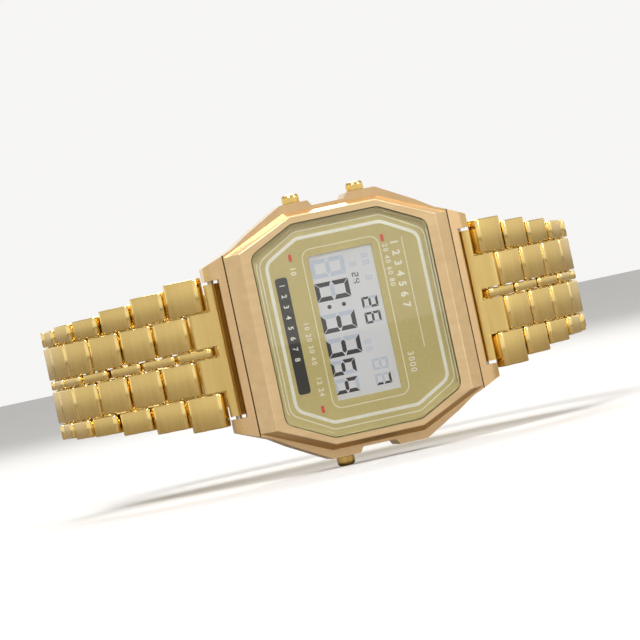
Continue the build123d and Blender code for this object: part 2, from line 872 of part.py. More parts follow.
def bracelet_nodes():
    """Both halves of the bracelet: spring bars, end links and rows."""
    nodes = {}
    shapes = {"spring_bar": [spring_bar()], "end_link": [end_link()]}
    points = chain_points()
    for row, turn in enumerate(row_angles):
        x, y = points[row]
        place = Pos(x, y, 0) * Rot(0, 0, turn)
        shapes[f"row_{row + 1:02d}"] = [place * solid for solid in row_solids(row)]
    for name, solids in shapes.items():
        nodes[f"upper_{name}"] = solids
        nodes[f"lower_{name}"] = [mirror(solid, about=Plane.YZ) for solid in solids]
    return nodes


def head_nodes():
    """The case and all that it holds."""
    nodes = {
        "case_body": [case_body()],
        "bezel": [bezel()],
        "crystal": [crystal()],
        "crystal_gasket": [crystal_gasket()],
        "dial": [dial()],
        "lcd_glass": [display_box(display_border, dial_rear_y, display_rear_y)],
        "lcd_reflector": [
            display_box(-reflector_inset, display_rear_y, display_rear_y + reflector_thickness)
        ],
        "zebra_strips": zebra_boxes(0),
        "module_frame": [module_frame()],
        "circuit_board": [circuit_board()],
        "board_components": board_components(),
        "contact_springs": contact_springs(),
        "lamp": [
            box_between(
                -lamp_width / 2, lamp_width / 2, board_y - lamp_height, board_y,
                lamp_z - lamp_depth / 2, lamp_z + lamp_depth / 2,
            )
        ],
        "battery": [battery()],
        "battery_strap": [battery_strap()],
        "piezo_disc": [rod_y(0, piezo_z, case_rear_y - piezo_thickness, case_rear_y, piezo_radius)],
        "buzzer_spring": [buzzer_spring()],
        "back_gasket": [back_gasket()],
        "case_back": [case_back()],
        "back_screws": back_screws(),
        "pusher_gaskets": pusher_gaskets(),
    }
    for name, (x, side) in pusher_places.items():
        nodes[f"pusher_{name}"] = pusher(x, side)
        nodes[f"pusher_{name}_spring"] = [pusher_spring(x, side)]
    return nodes


def clasp_nodes():
    """The folding clasp."""
    return {
        "clasp_base": [clasp_base()],
        "clasp_pin_upper": [clasp_pin(1)],
        "clasp_pin_lower": [clasp_pin(-1)],
        "clasp_cover": [clasp_cover()],
        "clasp_cover_pin": [cover_pin()],
        "clasp_lever": [clasp_lever()],
        "clasp_lever_pin": [lever_pin()],
    }


os.makedirs("parts", exist_ok=True)
for node, shapes in {**head_nodes(), **bracelet_nodes(), **clasp_nodes()}.items():
    solids = [solid for shape in shapes for solid in shape.solids()]
    export_step(Compound(label=node, children=solids), f"parts/{node}.step")
print("pivots", [(round(x, 2), round(y, 2)) for x, y in chain_points()])
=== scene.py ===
import math

import bmesh
import bpy
from mathutils import Matrix, Vector


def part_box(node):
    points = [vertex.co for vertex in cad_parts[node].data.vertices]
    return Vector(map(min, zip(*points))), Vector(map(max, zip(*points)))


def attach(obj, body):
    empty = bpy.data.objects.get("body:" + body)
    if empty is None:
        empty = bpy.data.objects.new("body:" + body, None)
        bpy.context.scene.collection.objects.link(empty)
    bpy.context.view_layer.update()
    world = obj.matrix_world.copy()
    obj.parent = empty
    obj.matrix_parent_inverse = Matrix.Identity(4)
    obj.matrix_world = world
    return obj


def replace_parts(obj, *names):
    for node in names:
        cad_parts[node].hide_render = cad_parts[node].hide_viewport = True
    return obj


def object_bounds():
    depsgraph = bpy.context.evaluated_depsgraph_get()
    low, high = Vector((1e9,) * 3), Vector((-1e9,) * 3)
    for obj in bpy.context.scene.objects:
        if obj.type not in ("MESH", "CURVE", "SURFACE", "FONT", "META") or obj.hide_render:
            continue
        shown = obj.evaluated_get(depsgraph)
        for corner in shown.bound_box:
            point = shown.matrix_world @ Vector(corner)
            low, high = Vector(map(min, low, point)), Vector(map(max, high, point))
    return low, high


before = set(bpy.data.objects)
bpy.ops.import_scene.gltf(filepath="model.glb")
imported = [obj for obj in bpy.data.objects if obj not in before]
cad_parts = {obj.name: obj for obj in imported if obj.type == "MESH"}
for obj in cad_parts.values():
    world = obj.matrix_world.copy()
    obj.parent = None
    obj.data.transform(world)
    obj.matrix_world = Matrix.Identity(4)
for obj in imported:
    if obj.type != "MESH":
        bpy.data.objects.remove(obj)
cad_box = [list(corner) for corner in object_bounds()]
MM = 0.001

# The camera looks at the dial from the left with a long lens, rolled so that the twelve o'clock end
# rises to the right.
camera_turn = math.radians(-11)
camera_roll = math.radians(12.1)
camera_distance = 550 * MM
field_width = 89.8 * MM
sensor_width = 36
aim = Vector((0, -7.1 * MM, 1.3 * MM)) - 4.6 * MM * Vector((math.cos(camera_turn), math.sin(camera_turn), 0))

camera = bpy.data.objects.new("camera", bpy.data.cameras.new("camera"))
bpy.context.collection.objects.link(camera)
bpy.context.scene.camera = camera
camera.data.sensor_width = sensor_width
camera.data.lens = sensor_width * camera_distance / field_width
camera.data.clip_start = 10 * MM
level_right = Vector((math.cos(camera_turn), math.sin(camera_turn), 0))
level_up = Vector((0, 0, 1))
camera_back = level_right.cross(level_up)
camera_right = math.cos(camera_roll) * level_right - math.sin(camera_roll) * level_up
camera_up = math.sin(camera_roll) * level_right + math.cos(camera_roll) * level_up
camera.matrix_world = Matrix.Translation(aim + camera_back * camera_distance) @ Matrix(
    (camera_right, camera_up, camera_back)
).transposed().to_4x4()


# The case band is one cast piece, polished and plated in yellow gold. Its guards and lugs are bright,
# with faint rubbing marks where a cuff touches them.
class Value:
    """A shader socket that adds Math nodes when it is used in an expression."""

    def __init__(self, shader, socket):
        self.shader, self.socket = shader, socket

    def do(self, operation, other, swap=False):
        pair = (other, self) if swap else (self, other)
        return self.shader.node("ShaderNodeMath", {"operation": operation}, dict(enumerate(pair)))

    def __add__(self, other):
        return self.do("ADD", other)

    def __sub__(self, other):
        return self.do("SUBTRACT", other)

    def __rsub__(self, other):
        return self.do("SUBTRACT", other, swap=True)

    def __mul__(self, other):
        return self.do("MULTIPLY", other)

    __radd__ = __add__
    __rmul__ = __mul__


class Shader:
    """A material whose nodes are added by one method."""

    def __init__(self, name):
        self.material = bpy.data.materials.new(name)
        self.material.use_nodes = True
        self.tree = self.material.node_tree
        self.principled = self.tree.nodes["Principled BSDF"]

    def node(self, kind, settings, sockets, output=0):
        made = self.tree.nodes.new(kind)
        for key, setting in settings.items():
            if key == "stops":
                ramp = made.color_ramp.elements
                ramp[0].position, ramp[0].color = setting[0]
                ramp[1].position, ramp[1].color = setting[1]
            else:
                setattr(made, key, setting)
        for key, value in sockets.items():
            if isinstance(value, Value):
                self.tree.links.new(value.socket, made.inputs[key])
            else:
                made.inputs[key].default_value = value
        return Value(self, made.outputs[output])

    def set(self, **values):
        """Sets or links the shader's own sockets, named with underscores for spaces."""
        for key, value in values.items():
            socket = self.principled.inputs[key.replace("_", " ")]
            if isinstance(value, Value):
                self.tree.links.new(value.socket, socket)
            else:
                socket.default_value = value
        return self.material

    def place(self, stretch=(1, 1, 1)):
        """Object coordinates, stretched along each axis."""
        point = self.node("ShaderNodeTexCoord", {}, {}, "Object")
        return self.node("ShaderNodeMapping", {}, {"Vector": point, "Scale": stretch})

    def noise(self, point, scale, detail=3.0):
        return self.node("ShaderNodeTexNoise", {}, {"Vector": point, "Scale": scale, "Detail": detail}, "Fac")

    def mix(self, factor, low, high):
        return self.node(
            "ShaderNodeMix", {"data_type": "RGBA"}, {"Factor": factor, 6: low, 7: high}, 2
        )

    def bump(self, height, depth, strength=1.0):
        return self.node("ShaderNodeBump", {}, {"Height": height, "Distance": depth, "Strength": strength}, "Normal")


def spread(value, low, high):
    """A value from 0 to 1, moved to lie from low to high."""
    return value * (high - low) + low


def finish_node(name, material):
    """Gives a CAD node its material."""
    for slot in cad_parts[name].material_slots:
        slot.link = "OBJECT"
        slot.material = material


def case_metal(name, seam_x, front_y):
    """Polished yellow gold on the flanks, brushed rose gold on the front, and painted shade in the seam beside the
    bezel: a thin dark band where the gap between the parts would be in shadow.
    """
    shader = Shader(name)
    point = shader.node("ShaderNodeTexCoord", {}, {}, "Object")
    parts = {axis: shader.node("ShaderNodeSeparateXYZ", {}, {"Vector": point}, axis) for axis in "XY"}
    front = shader.node(
        "ShaderNodeMapRange", {}, {"Value": parts["Y"], "From Min": front_y + 1.3 * MM, "From Max": front_y + 0.9 * MM}
    )
    from_seam = (parts["X"].do("ABSOLUTE", 0) - seam_x).do("ABSOLUTE", 0)
    # painted shade: a thin near-black band on the case front just outside the bezel's edge, standing in for the shadow
    # in the gap between bezel and case
    painted_seam_shade = front * from_seam.do("LESS_THAN", 0.09 * MM)
    rubs = shader.noise(shader.place((1, 1, 6)), 420, 5)
    lines = shader.noise(shader.place((1, 1, 0.06)), 900, 4)
    cloud = shader.noise(shader.place(), 120)
    flank = shader.mix(cloud, (0.66, 0.45, 0.18, 1), (0.86, 0.62, 0.29, 1))
    face = shader.mix(cloud * 0.4 + lines * 0.6, (0.62, 0.42, 0.22, 1), (0.80, 0.58, 0.33, 1))
    return shader.set(
        # the base colour turns near-black where the seam shade is painted
        Base_Color=shader.mix(painted_seam_shade, shader.mix(front, flank, face), (0.07, 0.035, 0.015, 1)),
        Metallic=1.0,
        Roughness=spread(rubs, 0.08, 0.2) + front * 0.2 + painted_seam_shade * 0.3,
        Normal=shader.bump(rubs, 0.0015 * MM),
    )


bezel_base_half_x, case_front = 16.3 * MM, -7.1 * MM
finish_node("case_body", case_metal("case_gold", bezel_base_half_x + 0.09 * MM, case_front))


# The bezel is a pressed ring, brushed lengthwise in a paler rose gold on its flat front and facets.
def brushed_metal(name, dark, light, stretch, rough, groove):
    """Plated metal with fine brushing: noise drawn out across one axis."""
    shader = Shader(name)
    lines = shader.noise(shader.place(stretch), 900, 4)
    cloud = shader.noise(shader.place(), 160)
    return shader.set(
        Base_Color=shader.mix(cloud * 0.35 + lines * 0.65, dark, light),
        Metallic=1.0,
        Roughness=spread(lines, rough - 0.07, rough + 0.07),
        Normal=shader.bump(lines, groove),
    )


bezel_gold = brushed_metal(
    "bezel_gold", (0.72, 0.51, 0.27, 1), (0.95, 0.74, 0.44, 1), (0.06, 1, 1), 0.32, 0.004 * MM
)
finish_node("bezel", bezel_gold)


# The crystal is a flat mineral glass with a polished bevel. It sits on a thin black seal round the dial.
def clear_glass(name, tint, index):
    """Clear glass with a slight green tint."""
    shader = Shader(name)
    streak = shader.noise(shader.place(), 60)
    return shader.set(
        Base_Color=tint, Roughness=spread(streak, 0.0, 0.02), IOR=index, Transmission_Weight=1.0
    )


def soft_rubber(name, colour):
    """Matt moulded rubber."""
    shader = Shader(name)
    grain = shader.noise(shader.place(), 2500)
    return shader.set(
        Base_Color=shader.mix(grain, colour, tuple(0.6 * c for c in colour[:3]) + (1,)),
        Roughness=spread(grain, 0.6, 0.8),
        Normal=shader.bump(grain, 0.01 * MM),
    )


finish_node("crystal", clear_glass("crystal_glass", (0.985, 0.992, 0.985, 1), 1.5))
seal_black = soft_rubber("seal_black", (0.35, 0.37, 0.20, 1))
finish_node("crystal_gasket", seal_black)


# The dial is a printed sheet in olive gold with a fine sparkle. Its lines, marks and numbers are
# screen-printed, so each is a thin layer of ink that stands just proud of the sheet.
ink_thickness = 0.03 * MM
dial_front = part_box("dial")[0][1]


def dial_paint(name):
    """Olive gold paint with a fine metallic grain."""
    shader = Shader(name)
    grain = shader.noise(shader.place(), 5200, 2)
    cloud = shader.noise(shader.place(), 90)
    colour = shader.mix(grain * 0.7 + cloud * 0.3, (0.44, 0.36, 0.12, 1), (0.68, 0.57, 0.25, 1))
    return shader.set(
        Base_Color=colour, Metallic=0.25, Roughness=spread(grain, 0.38, 0.6), Normal=shader.bump(grain, 0.004 * MM)
    )


def ink(name, colour, worn):
    """Printing ink with a slightly uneven cover."""
    shader = Shader(name)
    cover = shader.noise(shader.place(), 1800)
    return shader.set(
        Base_Color=shader.mix(cover, colour, worn), Roughness=spread(cover, 0.4, 0.6),
        Normal=shader.bump(cover, 0.002 * MM),
    )


def add_piece(name, mesh, material, body):
    """Adds a finished mesh as a piece that rides on a body."""
    mesh.materials.clear()
    mesh.materials.append(material)
    piece = bpy.data.objects.new(name, mesh)
    bpy.context.collection.objects.link(piece)
    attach(piece, body)
    return piece


def flat_mesh(name, shapes, front, thickness):
    """A mesh of flat prints: each shape is an outline in x and z, and the front faces -y."""
    work = bmesh.new()
    for outline in shapes:
        rings = [
            [work.verts.new((x, y, z)) for x, z in outline] for y in (front, front + thickness)
        ]
        count = len(outline)
        work.faces.new(rings[0])
        work.faces.new(list(reversed(rings[1])))
        for i in range(count):
            j = (i + 1) % count
            work.faces.new((rings[0][i], rings[1][i], rings[1][j], rings[0][j]))
    bmesh.ops.recalc_face_normals(work, faces=work.faces)
    mesh = bpy.data.meshes.new(name)
    work.to_mesh(mesh)
    work.free()
    return mesh


def rounded(corners, radius, steps=6):
    """A closed outline with each corner rounded by an arc of a radius."""
    points = []
    count = len(corners)
    for i in range(count):
        here = Vector(corners[i])
        to_last = (Vector(corners[i - 1]) - here).normalized()
        to_next = (Vector(corners[(i + 1) % count]) - here).normalized()
        half = to_last.angle(to_next) / 2
        centre = here + (to_last + to_next).normalized() * radius / math.sin(half)
        start = here + to_last * radius / math.tan(half) - centre
        sweep = start.angle_signed(here + to_next * radius / math.tan(half) - centre)
        for k in range(steps + 1):
            points.append(tuple(centre + Matrix.Rotation(-sweep * k / steps, 2) @ start))
    return points


def octagon(half_x, half_z, corner_x, corner_z, middle_x):
    """The corners of an octagon with cut corners, in order."""
    quarter = [(half_x, corner_z), (corner_x, half_z)]
    upper = quarter + [(-x, z) for x, z in reversed(quarter)]
    return [((middle_x + x) * MM, z * MM) for x, z in upper + [(x, -z) for x, z in reversed(upper)]]


def line_mesh(name, corners, radius, width):
    """A printed closed line of a width inside rounded corners, as one welded mesh."""
    outer = rounded(corners, radius)
    inner = []
    count = len(outer)
    for i in range(count):
        along = (Vector(outer[(i + 1) % count]) - Vector(outer[i - 1])).normalized()
        inner.append(tuple(Vector(outer[i]) + width * Vector((-along.y, along.x))))
    work = bmesh.new()
    front, back = dial_front - ink_thickness, dial_front
    rings = [
        [work.verts.new((x, y, z)) for x, z in outline]
        for outline, y in ((outer, front), (inner, front), (inner, back), (outer, back))
    ]
    for i in range(count):
        j = (i + 1) % count
        for a in range(4):
            b = (a + 1) % 4
            work.faces.new((rings[a][i], rings[b][i], rings[b][j], rings[a][j]))
    bmesh.ops.recalc_face_normals(work, faces=work.faces)
    mesh = bpy.data.meshes.new(name)
    work.to_mesh(mesh)
    work.free()
    return mesh


def box_outline(x_low, x_high, z_low, z_high, radius=0.0):
    """A rectangle in millimetres, with rounded corners if a radius is given."""
    corners = [(x_high, z_low), (x_high, z_high), (x_low, z_high), (x_low, z_low)]
    corners = [(x * MM, z * MM) for x, z in corners]
    return rounded(corners, radius * MM, 3) if radius else corners


def number_mesh(name, places):
    """Printed numbers: each place is the text, its start in x and z, its height and its boldness."""
    work = bmesh.new()
    for text, x, z, height, bold in places:
        curve = bpy.data.curves.new(name, "FONT")
        curve.body = text
        curve.size = height * MM
        curve.offset = bold * MM
        curve.space_character = 1.25
        curve.extrude = ink_thickness / 2
        curve.resolution_u = 3
        words = bpy.data.objects.new(name, curve)
        bpy.context.collection.objects.link(words)
        made = bpy.data.meshes.new_from_object(words.evaluated_get(bpy.context.evaluated_depsgraph_get()))
        bpy.data.objects.remove(words)
        turn = Matrix(((0, 1, 0, x * MM), (0, 0, -1, dial_front - ink_thickness / 2), (-1, 0, 0, z * MM), (0, 0, 0, 1)))
        made.transform(turn)
        work.from_mesh(made)
        bpy.data.meshes.remove(made)
    bmesh.ops.remove_doubles(work, verts=work.verts, dist=0.0005 * MM)
    mesh = bpy.data.meshes.new(name)
    work.to_mesh(mesh)
    work.free()
    return mesh


finish_node("dial", dial_paint("dial_paint"))
white_ink = ink("white_ink", (0.90, 0.89, 0.80, 1), (0.74, 0.72, 0.60, 1))
cream_ink = ink("cream_ink", (0.84, 0.81, 0.60, 1), (0.70, 0.66, 0.42, 1))
red_ink = ink("red_ink", (0.80, 0.08, 0.05, 1), (0.62, 0.05, 0.03, 1))
black_ink = ink("black_ink", (0.012, 0.012, 0.012, 1), (0.03, 0.03, 0.03, 1))

thick_line = line_mesh("white_line", octagon(11.3, 13.35, 6.2, 10.55, 0.2), 1.9 * MM, 0.48 * MM)
add_piece("white_line", thick_line, white_ink, "head")
thin_line = line_mesh("outer_line", octagon(12.1, 14.15, 6.3, 10.9, 0.2), 1.9 * MM, 0.17 * MM)
add_piece("outer_line", thin_line, cream_ink, "head")
window_line = line_mesh(
    "window_line", [(x * MM, z * MM) for x, z in ((5.6, -11.4), (5.6, 11.4), (-5.7, 11.4), (-5.7, -11.4))],
    1.4 * MM, 0.15 * MM,
)
add_piece("window_line", window_line, cream_ink, "head")

ink_front = dial_front - ink_thickness
pill = flat_mesh("pill", [box_outline(-10.1, -8.35, -8.4, 8.15, 0.4)], ink_front, ink_thickness)
add_piece("pill", pill, black_ink, "head")
marks = [
    box_outline(x - 0.23, x + 0.23, z - 0.5, z + 0.5, 0.12)
    for x, z in ((-7.3, 10.6), (-7.2, -11.0), (6.15, 10.75))
]
add_piece("red_marks", flat_mesh("red_marks", marks, ink_front, ink_thickness), red_ink, "head")
rule = flat_mesh("rule", [box_outline(8.82, 8.96, -5.4, 10.4)], ink_front, ink_thickness)
add_piece("rule", rule, cream_ink, "head")

labels = [
    ("10", -7.6, 9.3, 1.05, 0.03),
    ("10 20 30 40", -7.35, 1.4, 1.0, 0.015),
    ("12 24", -7.2, -6.4, 1.0, 0.015),
    ("20 40 60 80", 6.0, 9.9, 1.0, 0.015),
    ("1 2 3 4 5 6 7", 7.2, 10.2, 1.45, 0.05),
    ("3000", 6.3, -5.6, 1.25, 0.01),
]
add_piece("label_numbers", number_mesh("label_numbers", labels), white_ink, "head")
pill_numbers = number_mesh("pill_numbers", [("1  2  3  4  5  6  7  8", -9.6, 7.3, 1.05, 0.02)])
pill_numbers.transform(Matrix.Translation((0, -ink_thickness, 0)))
add_piece("pill_numbers", pill_numbers, white_ink, "head")


# The display is two sheets of glass with liquid crystal between them, over a matt reflector. Its
# segments are dark where they are driven, and faint where they rest.
segment_thickness = 0.02 * MM
display_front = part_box("lcd_glass")[0][1]
SEGMENTS = {
    "0": "abcdef", "1": "bc", "2": "abged", "3": "abgcd", "4": "fgbc", "5": "afgcd", "6": "afgedc",
    "7": "abc", "8": "abcdefg", "9": "abcdfg",
}


def segment_outlines(x, z, height, width, stroke, gap):
    """The seven segments of a digit by letter. Its top is towards +x, and it reads towards -z."""
    top, right = height / 2, width / 2
    cut = stroke + gap

    def flat(level, direction, slim):
        # a lying bar, whose ends are cut at the slant
        inner = level - direction * stroke
        if slim:
            half = stroke / 2
            return [
                (level, -right + gap + half), (level + half, -right + cut), (level + half, right - cut),
                (level, right - gap - half), (level - half, right - cut), (level - half, -right + cut),
            ]
        return [(level, -right + gap), (level, right - gap), (inner, right - cut), (inner, -right + cut)]

    def upright(side, low, high):
        outer = side * right
        inner = side * (right - stroke)
        if high > low and high > 0:
            return [(low + gap, outer), (high - gap, outer), (high - cut, inner), (low + gap + stroke / 2, inner)]
        return [(low + gap, outer), (high - gap, outer), (high - gap - stroke / 2, inner), (low + cut, inner)]

    shapes = {
        "a": flat(top, 1, False), "g": flat(0, 1, True), "d": flat(-top, -1, False),
        "f": upright(-1, 0, top), "b": upright(1, 0, top), "e": upright(-1, -top, 0), "c": upright(1, -top, 0),
    }
    return {letter: [((x + u) * MM, (z - v) * MM) for u, v in shape] for letter, shape in shapes.items()}


def lcd_material(name, colour, far):
    """A display layer with a soft fall of tone and a fine grain."""
    shader = Shader(name)
    cloud = shader.noise(shader.place(), 70)
    grain = shader.noise(shader.place(), 4000)
    return shader.set(
        Base_Color=shader.mix(cloud * 0.8 + grain * 0.2, colour, far),
        Roughness=spread(grain, 0.3, 0.4), Normal=shader.bump(grain, 0.001 * MM),
    )


big = (4.9, 2.65, 0.62, 0.06)
small = (3.6, 2.1, 0.52, 0.05)
tiny = (2.3, 1.6, 0.33, 0.04)
mark = (0.95, 0.62, 0.15, 0.02)
digits = [
    (None, -2.25, 8.3, big), ("0", -2.25, 5.0, big), ("3", -2.3, 0.5, big), ("3", -2.35, -2.98, big),
    ("5", -3.05, -5.85, small), ("4", -3.1, -8.45, small), ("2", 2.6, 2.35, tiny), ("6", 2.6, 0.15, tiny),
    (None, 2.2, -6.4, tiny), ("7", 2.2, -8.55, tiny), ("2", 1.35, 6.5, mark), ("4", 1.35, 5.6, mark),
    (None, 3.2, 8.9, mark), (None, 3.2, 7.9, mark), (None, 3.2, 5.7, mark), (None, 1.35, 8.0, mark),
    (None, 1.1, -3.0, mark), (None, 1.1, -4.1, mark),
]
dark, ghost = [], []
for digit, x, z, (height, width, stroke, gap) in digits:
    for letter, outline in segment_outlines(x, z, height, width, stroke, gap).items():
        (dark if digit and letter in SEGMENTS[digit] else ghost).append(outline)
dot_radius, dot_sides = 0.3, 16
for x in (-3.2, -1.1):
    dark.append([
        ((x + dot_radius * math.cos(t)) * MM, (2.8 + dot_radius * math.sin(t)) * MM)
        for t in (2 * math.pi * k / dot_sides for k in range(dot_sides))
    ])
finish_node("lcd_glass", lcd_material("lcd_ground", (0.68, 0.69, 0.72, 1), (0.76, 0.77, 0.79, 1)))
segment_front = display_front - segment_thickness
lcd_dark = lcd_material("lcd_dark", (0.020, 0.021, 0.026, 1), (0.035, 0.036, 0.045, 1))
lcd_ghost = lcd_material("lcd_ghost", (0.50, 0.56, 0.66, 1), (0.58, 0.63, 0.72, 1))
add_piece(
    "driven_segments", flat_mesh("driven_segments", dark, segment_front, segment_thickness), lcd_dark, "head"
)
add_piece(
    "resting_segments", flat_mesh("resting_segments", ghost, segment_front, segment_thickness), lcd_ghost, "head",
)


# Inside, the module is a black moulded frame with the board, the coin cell, its contacts and the buzzer.
def moulded(name, colour, light, rough=0.5):
    """Moulded plastic or resin with a fine spark-eroded grain."""
    shader = Shader(name)
    grain = shader.noise(shader.place(), 3000)
    return shader.set(
        Base_Color=shader.mix(grain, colour, light), Roughness=spread(grain, rough - 0.08, rough + 0.08),
        Normal=shader.bump(grain, 0.005 * MM),
    )


spring_steel = brushed_metal("spring_steel", (0.50, 0.49, 0.47, 1), (0.68, 0.67, 0.64, 1), (1, 0.1, 1), 0.28, 0.003 * MM)
module_black = moulded("module_black", (0.015, 0.015, 0.017, 1), (0.03, 0.03, 0.032, 1))
rubber_black = soft_rubber("rubber_black", (0.02, 0.02, 0.02, 1))
for node in ("module_frame", "board_components"):
    finish_node(node, module_black)
for node in ("zebra_strips", "back_gasket", "pusher_gaskets"):
    finish_node(node, rubber_black)
for node in ("contact_springs", "battery", "battery_strap", "buzzer_spring"):
    finish_node(node, spring_steel)
finish_node("circuit_board", moulded("board_green", (0.02, 0.13, 0.05, 1), (0.04, 0.20, 0.08, 1), 0.3))
finish_node("lamp", moulded("lamp_lens", (0.85, 0.82, 0.62, 1), (0.92, 0.90, 0.75, 1), 0.25))
finish_node("lcd_reflector", brushed_metal(
    "reflector_foil", (0.66, 0.66, 0.66, 1), (0.8, 0.8, 0.8, 1), (1, 1, 0.1), 0.4, 0.002 * MM
))
finish_node("piezo_disc", brushed_metal(
    "buzzer_brass", (0.55, 0.38, 0.13, 1), (0.72, 0.53, 0.22, 1), (1, 1, 0.1), 0.3, 0.002 * MM
))


# The pushers are turned from brass and plated bright yellow gold. Each has a domed cap on a stem, with a
# coil spring under it.
def polished_metal(name, dark, light, rough):
    """Plated metal with a mirror polish and faint rubbing marks."""
    shader = Shader(name)
    rubs = shader.noise(shader.place((1, 1, 6)), 420, 5)
    cloud = shader.noise(shader.place(), 120)
    return shader.set(
        Base_Color=shader.mix(cloud, dark, light),
        Metallic=1.0,
        Roughness=spread(rubs, rough * 0.5, rough * 1.5),
        Normal=shader.bump(rubs, 0.0015 * MM),
    )


pusher_gold = polished_metal("pusher_gold", (0.72, 0.49, 0.14, 1), (0.86, 0.62, 0.22, 1), 0.13)
pusher_profile = [
    (0.0, 0.0), (0.55, 0.02), (0.88, 0.06), (1.07, 0.15), (1.19, 0.27), (1.245, 0.42), (1.25, 0.6),
    (1.25, 1.25), (1.18, 1.29), (1.18, 1.42), (1.25, 1.46), (1.25, 2.5),
]
pusher_clip = [(0.5, 5.7), (0.9, 5.7), (0.9, 5.95), (0.5, 5.95)]
turn_steps = 48


def turned(name, x, y, tip, side, profile, closed):
    """A turned piece: a profile of radius and depth from the tip, spun round z."""
    work = bmesh.new()
    rings = []
    for radius, depth in profile:
        z = tip - side * depth * MM
        if radius == 0:
            rings.append([work.verts.new((x, y, z))])
            continue
        rings.append([
            work.verts.new((
                x + radius * MM * math.cos(2 * math.pi * k / turn_steps),
                y + radius * MM * math.sin(2 * math.pi * k / turn_steps), z,
            ))
            for k in range(turn_steps)
        ])
    pairs = list(zip(rings, rings[1:]))
    if closed:
        pairs.append((rings[-1], rings[0]))
    for first, second in pairs:
        for k in range(turn_steps):
            n = (k + 1) % turn_steps
            corners = [first[k % len(first)], first[n % len(first)], second[n % len(second)], second[k % len(second)]]
            corners = list(dict.fromkeys(corners))
            work.faces.new(corners)
    if not closed and len(rings[-1]) > 1:
        work.faces.new(rings[-1])
    bmesh.ops.recalc_face_normals(work, faces=work.faces)
    mesh = bpy.data.meshes.new(name)
    work.to_mesh(mesh)
    work.free()
    mesh.shade_smooth()
    mesh.set_sharp_from_angle(angle=math.radians(35))
    return mesh


stem_profile = [(0.5, 2.5), (0.5, 5.69), (0.44, 5.7), (0.44, 5.95), (0.5, 5.96), (0.5, 6.1)]
for name in ("mode", "light", "start"):
    node = f"pusher_{name}"
    low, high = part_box(node)
    side = 1 if high[2] > 0 else -1
    tip = high[2] if side > 0 else low[2]
    x, y = (low[0] + high[0]) / 2, (low[1] + high[1]) / 2
    cap = turned(f"{node}_cap", x, y, tip, side, pusher_profile + stem_profile, False)
    cap = add_piece(f"{node}_cap", cap, pusher_gold, node)
    clip = turned(f"{node}_clip", x, y, tip, side, pusher_clip, True)
    clip = add_piece(f"{node}_clip", clip, spring_steel, node)
    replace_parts(cap, node)
    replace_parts(clip, node)
    finish_node(f"{node}_spring", spring_steel)


# The case back is a pressed steel plate, brushed lengthwise. Four slotted screws hold it on its gasket.
back_steel = brushed_metal("back_steel", (0.52, 0.51, 0.49, 1), (0.70, 0.69, 0.66, 1), (0.05, 1, 1), 0.26, 0.004 * MM)
finish_node("case_back", back_steel)
finish_node("back_screws", polished_metal("screw_steel", (0.55, 0.54, 0.52, 1), (0.7, 0.69, 0.67, 1), 0.2))


# The bracelet's links are yellow gold, brushed along their faces, with rolled edges that are polished and painted a
# paler gold as a painted highlight.
# End links sit on spring bars in the lugs.
def link_metal(name):
    """Brushed on the faces and polished on the rolled edges, told apart by the face attribute rolled. The rolled edges
    also get one paler gold, a painted highlight.
    """
    shader = Shader(name)
    grain = shader.node("ShaderNodeAttribute", {"attribute_name": "grain"}, {}, "Vector")
    rolled = shader.node("ShaderNodeAttribute", {"attribute_name": "rolled"}, {}, "Fac")
    lines = shader.noise(shader.node("ShaderNodeMapping", {}, {"Vector": grain, "Scale": (1, 1, 0.06)}), 1100, 4)
    cloud = shader.noise(shader.place(), 130)
    face = shader.mix(cloud * 0.4 + lines * 0.6, (0.62, 0.44, 0.14, 1), (0.84, 0.64, 0.27, 1))
    return shader.set(
        # painted highlight: the rolled edges take one paler gold than the brushed faces, on top of their real polish
        Base_Color=shader.mix(rolled, face, (0.88, 0.68, 0.28, 1)),
        Metallic=1.0,
        Roughness=spread(lines, 0.24, 0.4) * (1 - rolled) + rolled * 0.12,
        Normal=shader.bump(lines * (1 - rolled), 0.006 * MM),
    )


band_gold = link_metal("band_gold")
plain_gold = brushed_metal(
    "plain_gold", (0.62, 0.44, 0.14, 1), (0.84, 0.64, 0.27, 1), (1, 1, 0.06), 0.3, 0.005 * MM
)
for side in ("upper", "lower"):
    finish_node(f"{side}_end_link", plain_gold)
    finish_node(f"{side}_spring_bar", spring_steel)


# A row is two outer links, a centre link and two inner links half a pitch further on, all on two pins.
# The links are drawn bar, cut and tumbled, so that their cross edges are rounder than their sides.
row_pitch = 5.8
row_angles = [38, 42, 46.5, 60, 75, 86, 103, 120, 136, 151, 166]
outer_widths = [4.85, 4.0, 3.25, 2.65, 2.5, 2.2, 2.2, 2.2, 2.2, 2.2, 2.2]
centre_width, inner_width, column_gap = 1.25, 4.75, 0.2
link_thickness, link_reach, link_gap = 2.0, 1.26, 0.38
end_radius, side_radius = 0.45, 0.2
pin_radius, pin_proud, pin_sides = 0.42, 0.03, 20
bar_place, end_link_angle, end_link_run = (18.2, -3.5), math.radians(8), 2.75
end_link_rise = 1.9 - link_thickness / 2


def link_section(s_low, s_high, inset):
    """A link's section along its length, drawn in all round by an inset, with its back and front edges round."""
    half = link_thickness / 2 - inset
    radius = max(end_radius - inset, 0.05)
    points = []
    corners = [(s_high - inset, half, 0), (s_low + inset, half, 90), (s_low + inset, -half, 180),
               (s_high - inset, -half, 270)]
    for s, n, turn in corners:
        centre_s = s - radius if s > (s_low + s_high) / 2 else s + radius
        centre_n = n - math.copysign(radius, n)
        for k in range(5):
            t = math.radians(turn + 22.5 * k)
            points.append((centre_s + radius * math.cos(t), centre_n + radius * math.sin(t)))
    return points


